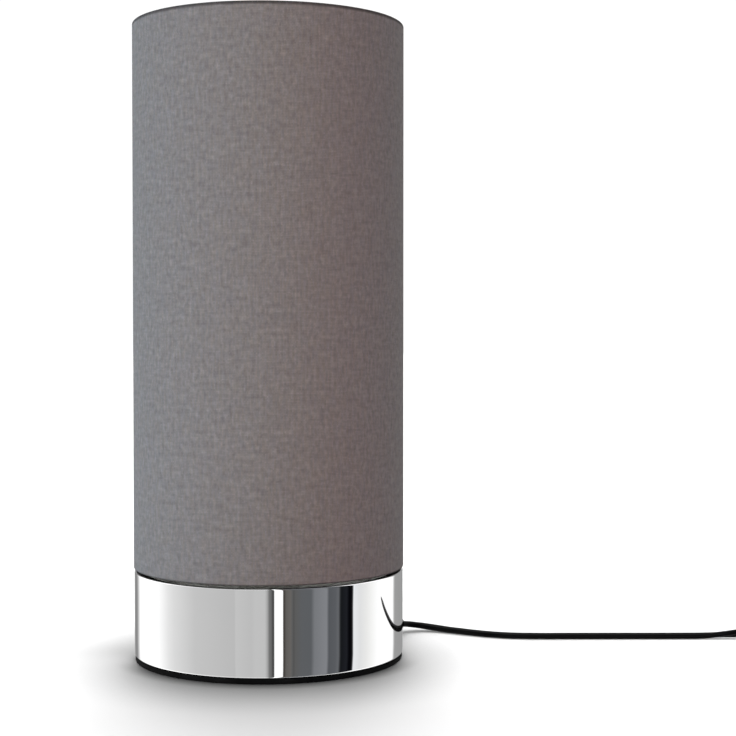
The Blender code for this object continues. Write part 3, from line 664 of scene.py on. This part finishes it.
T = 0.4
top, low = SHADE_TOP, SHADE_LOW
outer = [(58.35, top - 12.6), (58.45, top - 10.5), (57.9, top - 7.4), (56.3, top - 5.0), (55.2, top - 3.4), (54.85, top - 2.2), (54.85, top - 1.2)]
outer += [(p[0], p[1]) for p in arc(55.75, top - 0.9, 0.9, 180, 90, 5)]
outer += [(57.0, top)] + arc(SHADE_R - 0.5, top - 0.5, 0.5, 90, 0, 5)
zs = np.linspace(top - 1.6, low + 1.6, 38)
outer += [(SHADE_R, float(zv)) for zv in zs]
outer += arc(SHADE_R - 0.5, low + 0.5, 0.5, 0, -90, 5) + [(57.0, low), (55.6, low), (54.7, low)]


def offset_line(points, d):
    """Moves a (r, z) polyline sideways by d, to its right as it runs."""
    p = np.array(points)
    t = np.gradient(p, axis=0)
    t /= np.linalg.norm(t, axis=1)[:, None]
    return [tuple(q) for q in p + np.stack([t[:, 1], -t[:, 0]], axis=1) * d]


inner = offset_line(outer, T)
prof = outer + inner[::-1]
azs = np.sort(np.concatenate([np.linspace(0, TAU, 240, endpoint=False),
                              SEAM_AZ + np.array([3.9, 4.05, 4.2, 4.35, 4.5]) / SHADE_R]))
cloth = lathe("shade_cloth_drum", prof, angle=50, offset=seam_lift, azimuths=azs)
dress(cloth, CLOTH, "shade", "shade_cloth", slot="shade_cloth")

liner_o, liner_i = SHADE_R - T - 0.3, SHADE_R - T - 0.8
zs = np.linspace(top - 0.8, low + 0.9, 20)
prof = [(liner_o, float(z)) for z in zs] + [(liner_i, float(z)) for z in zs[::-1]]
liner = lathe("liner_drum", prof, 192, angle=50)
dress(liner, LINER, "shade", "shade_liner", slot="white_liner")

# ------------------------------------------------------------------ polished can
wall = 0.9
prof = ([(5.3, CAN_TOP)] + [(12.0, CAN_TOP), (30.0, CAN_TOP), (50.0, CAN_TOP)] + arc(CAN_R - 0.9, CAN_TOP - 0.9, 0.9, 90, 0, 12)
        + [(CAN_R, 30.0), (CAN_R, 20.0), (CAN_R, 10.0)] + arc(CAN_R - 0.7, CAN_LOW + 0.7, 0.7, 0, -90, 8)
        + [(CAN_R - wall, CAN_LOW), (CAN_R - wall, 20.0)] + arc(CAN_R - wall - 0.8, CAN_TOP - wall - 0.8, 0.8, 0, 90, 4)
        + [(30.0, CAN_TOP - wall), (5.3, CAN_TOP - wall)])
can = lathe("polished_can", prof, 256, angle=40)
hole = lathe("hole_tool", [(0, 8), (4.1, 8), (4.1, -8), (0, -8)], 40, relief_frame, closed=False)
b = can.modifiers.new("cord_hole", "BOOLEAN")
b.operation, b.solver, b.object = "DIFFERENCE", "EXACT", hole
dg = bpy.context.evaluated_depsgraph_get()
me = bpy.data.meshes.new_from_object(can.evaluated_get(dg))
can.modifiers.clear()
can.data = me
bpy.data.objects.remove(hole)
shade(me, 40)
dress(can, CHROME, "base", "base_shell", slot="chrome")

# foot: foam disc with softly rounded edges
fr = foot_hi[0] / MM
prof = [(0, 2.2)] + arc(fr - 0.35, 2.2 - 0.35, 0.35, 90, 0, 3) + arc(fr - 0.35, 0.35, 0.35, 0, -90, 3) + [(0, 0)]
foot = lathe("foam_foot", prof, 192, closed=False, angle=60)
dress(foot, FOOT, "base", "foot_pad", slot="black_foot")

# ------------------------------------------------------------------ bulb and lampholder
bz = bulb_hi[2] / MM
out_p = arc(0, bz - 12.5, 12.5, 90, 0, 18) + [(12.5, 100.0), (12.45, 96.0)]
neck = catmull([(12.45, 96.0, 0), (11.7, 91.6, 0), (9.6, 88.0, 0), (7.2, 85.8, 0), (5.9, 84.6, 0), (5.6, 83.4, 0)], 5)
out_p += [(float(p[0]), float(p[1])) for p in neck[1:]] + [(5.6, 80.0)]
in_p = [(max(0.0, r - 0.8), z if r > 5.7 else z) for r, z in out_p[::-1]]
in_p = [(r, z - (0.8 if z > bz - 12.5 and r < 2.0 else 0.0)) for r, z in in_p]
in_arc = arc(0, bz - 12.5, 11.7, 0, 90, 14)
in_p = [(4.8, 80.0), (4.8, 83.6), (5.4, 85.0), (7.0, 86.6), (9.2, 88.8), (11.1, 92.2), (11.65, 96.2), (11.7, 100.0)] + in_arc
out_p[0] = (0, bz)
in_p[-1] = (0, bz - 0.8)
glass = lathe("bulb_envelope", out_p + in_p, 96, closed=False, angle=60)
dress(glass, OPAL, "bulb", "bulb_glass", slot="opal_glass")

# screw cap: a real right-hand thread rolled into thin sheet
n_a, pts = 72, 84
rings = []
for i in range(n_a):
    a = TAU * i / n_a
    ring_o, ring_i = [], []
    for k in range(pts):
        z = 84.0 - 19.1 * k / (pts - 1)
        depth = smooth01((82.4 - z) / 1.2) * smooth01((z - 65.6) / 1.2)
        r = 6.55 + 0.30 * depth * math.sin(TAU * z / 2.82 - a)
        ring_o.append((r * math.cos(a) * MM, r * math.sin(a) * MM, z * MM))
        ring_i.append(((r - 0.35) * math.cos(a) * MM, (r - 0.35) * math.sin(a) * MM, z * MM))
    rings.append(ring_o + ring_i[::-1])
cap = new_object("bulb_screw_cap", grid_mesh("bulb_screw_cap", rings, True, True, 60))
dress(cap, NICKEL, "bulb", "bulb_cap", slot="nickel_cap")

# lampholder skirt with its outer thread and shoulder
rings = []
zs = np.concatenate([np.linspace(79.5, 56.6, 150), [56.3, 56.2]])
for i in range(n_a):
    a = TAU * i / n_a
    ring = []
    for z in zs:
        depth = smooth01((79.0 - z) / 1.0) * smooth01((z - 57.0) / 1.0)
        r = 13.82 + 0.18 * depth * math.sin(TAU * z / 2.0 - a)
        ring.append((r, z))
    ring += [(16.9, 56.2), (17.2, 55.9), (17.2, 54.3), (16.9, 54.0), (14.2, 53.5), (14.0, 53.3), (14.0, 52.3), (12.0, 52.3), (12.0, 79.5)]
    rings.append([(r * math.cos(a) * MM, r * math.sin(a) * MM, z * MM) for r, z in ring])
skirt = new_object("holder_thread", grid_mesh("holder_thread", rings, True, True, 40))
dress(skirt, WHITE, "base", "holder_skirt", slot="white_plastic")
prof = [(14.0, 52.0), (14.0, 41.2), (13.8, 40.6), (13.2, 40.05), (12.8, 39.9), (5.3, 39.9), (5.3, 43.2), (12.2, 43.2), (12.2, 52.0)]
ribs = lambda a, r, z: (-0.25 if (r > 13.9 and math.sin(a * 36) < -0.2) else 0.0)
body = lathe("holder_cup", prof, 216, angle=40, offset=ribs)
dress(body, WHITE, "base", "holder_body", slot="white_plastic")

# ring nut, gripped by ribs round its rim
prof = [(16.6, 66.0), (17.6, 65.8), (18.3, 65.2), (18.6, 64.4), (18.6, 59.2), (18.2, 58.7), (17.6, 58.6), (14.4, 58.6), (14.4, 66.0)]
grip = lambda a, r, z: (-0.55 * (0.5 - 0.5 * math.cos(a * 30)) ** 2 if r > 18.1 else 0.0)
ring_nut = lathe("ring_nut", prof, 240, angle=40, offset=grip)
dress(ring_nut, WHITE, "shade_nut", "shade_nut", slot="white_plastic")

# wires of the frame
for nd, name in (("top_ring", "top_wire"), ("bottom_ring", "bottom_wire")):
    lo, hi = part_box(nd)
    zc, rw = (lo[2] + hi[2]) / 2 / MM, 1.5
    w = lathe(name, [(57.0 + rw * math.cos(TAU * k / 12), zc - rw * math.sin(TAU * k / 12)) for k in range(12)], 160, angle=80)
    dress(w, ENAMEL, "shade", nd, slot="white_enamel")
low_z = (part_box("bottom_ring")[0][2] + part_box("bottom_ring")[1][2]) / 2 / MM
spoke_way = catmull([(55.6, 0, low_z), (50, 0, low_z), (43, 0, 43.2), (36, 0, 44.6), (29.5, 0, 48.2), (24.6, 0, 53.0), (22.2, 0, 55.8), (18.9, 0, 57.4)], 8)
for k in range(3):
    a = math.radians(90 + 120 * k)
    pts3 = [(p[0] * math.cos(a), p[0] * math.sin(a), p[2]) for p in spoke_way]
    sp = sweep(f"spoke_wire_{k + 1}", np.array(pts3), circle(1.1, 12), angle=60)
    dress(sp, ENAMEL, "shade", f"spider_spoke_{k + 1}", slot="white_enamel")
prof = [(18.8, 58.3), (19.0, 58.1), (19.0, 56.7), (18.8, 56.5), (14.7, 56.5), (14.5, 56.7), (14.5, 58.1), (14.7, 58.3)]
carrier = lathe("carrier_plate", prof, 96, angle=40)
dress(carrier, ENAMEL, "shade", "carrier_ring", slot="white_enamel")

# ------------------------------------------------------------------ studio: floor, world, lights
me = bpy.data.meshes.new("floor")
me.from_pydata([(-8, -8, 0), (8, -8, 0), (8, 8, 0), (-8, 8, 0)], [], [(0, 1, 2, 3)])
floor = new_object("floor", me)
m, nt, p = material("floor_paper")
paper = mix_colour(nt, noise(nt, coords(nt), 4.0, 2.0), (0.90, 0.90, 0.90), (0.905, 0.905, 0.905))
fx, fy = split(nt, coords(nt))[:2]
front = remap(nt, fy, -0.036, -0.008, 1.0, 0.0, True)
at_left = maths(nt, "MULTIPLY", remap(nt, fx, -0.068, -0.052, 1.0, 0.0, True), remap(nt, fy, -0.014, 0.020, -0.14, 0.24, True))
round_base = maths(nt, "MULTIPLY", maths(nt, "MULTIPLY", remap(nt, fx, 0.050, 0.064, 1.0, 0.88, True), remap(nt, fx, 0.078, 0.105, 1.0, 0.0, True)), maths(nt, "ADD", 1.0, at_left))
for reach, low_v, full, where in ((0.055, 0.45, 0.39, round_base), (0.010, 0.50, 0.40, front)):      # contact shadow of the base, broad and close
    ao = node(nt, "ShaderNodeAmbientOcclusion", samples=12)
    ao.inputs["Distance"].default_value = reach
    grey = node(nt, "ShaderNodeCombineColor")
    shade_f = maths(nt, "SUBTRACT", 1.0, maths(nt, "MULTIPLY", where, remap(nt, ao.outputs["AO"], low_v, 1.0, 1.0 - full, 0.0)))
    for sck in grey.inputs[:3]:
        link(nt, shade_f, sck)
    paper = mix_colour(nt, 1.0, paper, grey.outputs[0], "MULTIPLY")
link(nt, paper, p.inputs["Base Color"])
p.inputs["Roughness"].default_value = 0.9
p.inputs["Specular IOR Level"].default_value = 0.0
me.materials.append(m)
floor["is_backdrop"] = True
floor.visible_glossy = False

world = bpy.data.worlds.new("studio")
scene.world = world
world.use_nodes = True
nt = world.node_tree
nt.nodes.clear()
out = node(nt, "ShaderNodeOutputWorld")
direction = node(nt, "ShaderNodeTexCoord").outputs["Generated"]
dx, dy, dz = split(nt, direction)[:3]
turn = maths(nt, "DIVIDE", maths(nt, "WRAP", maths(nt, "ARCTAN2", dy, dx), TAU, 0.0), TAU)
G = 1.0 / 0.95 / 0.62


def band(stops):
    return [(a / 360.0, tuple(min(2.6, c * G) for c in (v if hasattr(v, "__len__") else (v, v, v)))) for a, v in stops]


# softboxes, grey cards and black flags round the lamp, as seen in polished metal
cards_a = band([(0, (.81, .81, .80)), (7, (.91, .91, .90)), (13, .99), (20, 1.04), (40.5, 1.04), (43.2, .56), (45.5, .33), (62, .31), (66, .325), (70, .28),
                (80, .42), (90, .38), (103, .36), (112, .23), (117.5, .26), (121.5, .50), (125, .80), (128, 1.05), (162, 1.03), (168, .93), (176, .78), (184, .69)])
cards_b = band([(180, .72), (184, .69), (196, .61), (205, .545), (228, .505), (241, .485), (242, .535), (255, .50), (258.5, .525), (266.4, .52),
                (268.3, .38), (270.0, .16), (272, .11)])
cards_c = band([(270.3, .165), (271.7, .138), (272.2, .078), (273.86, .066), (274.28, 1.08), (281.1, 1.05), (281.5, (.050, .045, .038)), (282.2, (.051, .046, .039)), (283.0, (.082, .075, .069)),
                (283.8, (.112, .106, .099)), (287.4, (.133, .125, .118)), (288.9, .111), (289.7, .089), (290.5, .089), (291.6, .105), (297, (.106, .111, .118)), (305.0, (.104, .110, .118)), (308, (.18, .187, .20)), (318.8, (.215, .222, .238)), (320.9, (.09, .095, .104)),
                (327, (.10, .105, .115)), (329.8, (.125, .13, .14)), (331.8, (.018, .019, .021)), (333, (.0085, .0095, .0115)), (338, (.013, .014, .018)), (340.5, (.002, .002, .003)), (343.3, (.003, .003, .004)), (344.4, (.062, .062, .064)), (345.4, (.80, .81, .83)), (352, (.735, .74, .745)), (360, (.81, .81, .80))])


def ring(stops, first_deg, last_deg):
    a, b = first_deg / 360, last_deg / 360
    return ramp(nt, remap(nt, turn, a, b, 0.0, 1.0), [(min(1.0, max(0.0, (at - a) / (b - a))), c) for at, c in stops])


ring_a = ring(cards_a, 0, 184)
ring_b = ring(cards_b, 180, 272)
ring_c = ring(cards_c, 270.3, 360)
ring_ab = mix_colour(nt, maths(nt, "GREATER_THAN", turn, 182 / 360), ring_a, ring_b)
ring_all = mix_colour(nt, maths(nt, "GREATER_THAN", turn, 270.3 / 360), ring_ab, ring_c)
tilt = ramp(nt, remap(nt, dz, -1.0, 1.0, 0.0, 1.0), [(0.0, 0.82), (0.225, 0.82), (0.325, 0.62), (0.65, 0.62), (0.725, 0.72), (0.88, 0.69), (0.955, 0.36), (0.975, 1.9), (1.0, 2.4)])
glossy = mix_colour(nt, 1.0, ring_all, tilt, "MULTIPLY")
# soft light on everything matt: azimuth, elevation, inner and outer half angle and level of each large diffused lamp
LAMPS = [(90, 35, 15, 60, 1.57), (0, 88, 15, 60, 1.25), (180, 65, 15, 60, 0.21)]
soft = None
for azimuth, elevation, inner_a, outer_a, level in LAMPS:
    a, e = math.radians(azimuth), math.radians(elevation)
    dot = node(nt, "ShaderNodeVectorMath", operation="DOT_PRODUCT")
    link(nt, direction, dot.inputs[0])
    dot.inputs[1].default_value = (math.cos(a) * math.cos(e), math.sin(a) * math.cos(e), math.sin(e))
    lobe = node(nt, "ShaderNodeVectorMath", operation="SCALE")
    lobe.inputs[0].default_value = (level, level, level)
    link(nt, remap(nt, dot.outputs["Value"], math.cos(math.radians(outer_a)), math.cos(math.radians(inner_a)), 0.0, 1.0, True), lobe.inputs["Scale"])
    if soft is None:
        soft = lobe.outputs[0]
    else:
        add = node(nt, "ShaderNodeVectorMath", operation="ADD")
        link(nt, soft, add.inputs[0])
        link(nt, lobe.outputs[0], add.inputs[1])
        soft = add.outputs[0]
path = node(nt, "ShaderNodeLightPath")
first = maths(nt, "LESS_THAN", path.outputs["Diffuse Depth"], 0.5)
glossy = mix_colour(nt, first, (0.06, 0.06, 0.06), glossy)
lit = mix_colour(nt, path.outputs["Is Glossy Ray"], soft, glossy)
seen = mix_colour(nt, path.outputs["Is Camera Ray"], lit, (1.05, 1.05, 1.05))
bg = node(nt, "ShaderNodeBackground")
link(nt, seen, bg.inputs["Color"])
bg.inputs["Strength"].default_value = 1.0
link(nt, bg.outputs[0], out.inputs[0])

# large soft lamps: on the shade alone, cool on the left, warm in front and plain behind; a plain one on all the rest; and low ones behind on the floor alone
cloth_only = bpy.data.collections.new("cloth_only")
cloth_only.objects.link(bpy.data.objects["shade_cloth_drum"])
rest_only = bpy.data.collections.new("rest_only")
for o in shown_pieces():
    if o.name != "shade_cloth_drum":
        rest_only.objects.link(o)
floor_only = bpy.data.collections.new("floor_only")
floor_only.objects.link(floor)
casters = bpy.data.collections.new("casters")
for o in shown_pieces():
    if o.name != "flex":
        casters.objects.link(o)
for name, azimuth, colour, elevation, width, lit_group in (("cool_left", 205, (0.50, 2.02, 3.22), 8, 56, cloth_only), ("side", 185, (0.48, 0.02, 0.50), 8, 56, cloth_only),
                                                          ("left", 225, (0.70, 1.91, 0.32), 8, 56, cloth_only), ("warm_front", 245, (1.97, 0.06, 0.65), 8, 56, cloth_only),
                                                          ("behind", 93, (2.0, 2.1, 2.2), 15, 30, cloth_only), ("plain_left", 225, (1.9, 1.9, 1.9), 25, 56, rest_only), ("low_wide", 90, (3.35, 3.35, 3.35), 8, 60, floor_only),
                                                          ("low_mid", 90, (2.79, 2.79, 2.79), 8, 50, floor_only), ("low_tight", 90, (1.66, 1.66, 1.66), 8, 38, floor_only)):
    la = bpy.data.lights.new(name, "SUN")
    la.angle = math.radians(width)
    la.energy = max(colour)
    la.color = tuple(c / max(colour) for c in colour)
    o = bpy.data.objects.new(name, la)
    scene.collection.objects.link(o)
    a, e = math.radians(azimuth), math.radians(elevation)
    o.rotation_euler = Vector((math.cos(a) * math.cos(e), math.sin(a) * math.cos(e), math.sin(e))).to_track_quat("Z", "Y").to_euler()
    o.visible_glossy = False
    o.light_linking.receiver_collection = lit_group
    if lit_group is floor_only:
        o.light_linking.blocker_collection = casters

# a small glowing card beside the coil, seen only in polished metal, is a painted reflection: each place glows with the
# studio tone the can would reflect there, keeping the coil and plug out of the metal
CARD_X = 0.214
card_me = bpy.data.meshes.new("reflection_card")
card_me.from_pydata([(CARD_X, -0.088, 0.0004), (CARD_X, 0.034, 0.0004), (CARD_X, 0.034, 0.030), (CARD_X, -0.088, 0.030)], [], [(0, 1, 2, 3)])
reflection_card = new_object("reflection_card", card_me)
m, nt, p = material("painted_reflection_card")
p.inputs["Base Color"].default_value = (0, 0, 0, 1)
p.inputs["Specular IOR Level"].default_value = 0.0
p.inputs["Emission Strength"].default_value = 1.0
# painted reflection: the tone along the card is the studio ring's tone where the can, seen from the camera, reflects
# that place
tones = []
for k in range(-100, 12):
    a = math.radians(k * 0.7)
    at = Vector((CAN_R * MM * math.cos(a), CAN_R * MM * math.sin(a), 0))
    n = at.normalized()
    d = (at - Vector((cam.location.x, cam.location.y, 0))).normalized()
    r = d - 2 * d.dot(n) * n
    if r.x <= 0.2:
        continue
    y = at.y + r.y * (CARD_X - at.x) / r.x
    if -0.088 < y < 0.034:
        az = math.degrees(math.atan2(r.y, r.x)) % 360
        table = cards_c if az > 270 else cards_a
        value = [float(np.interp(az / 360, [q[0] for q in table], [q[1][c] for q in table])) for c in range(3)]
        tones.append(((y + 0.088) / 0.122, tuple(0.62 * v for v in value)))
tones.sort()
keep = tones[:: max(1, len(tones) // 20 + 1)] + tones[-1:]
y_socket = split(nt, coords(nt))[1]
link(nt, ramp(nt, remap(nt, y_socket, -0.088, 0.034, 0.0, 1.0), keep), p.inputs["Emission Color"])
card_me.materials.append(m)
reflection_card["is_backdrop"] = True
reflection_card.visible_camera = reflection_card.visible_diffuse = reflection_card.visible_shadow = reflection_card.visible_transmission = False

# ------------------------------------------------------------------ overall size of what is shown
lo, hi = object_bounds()
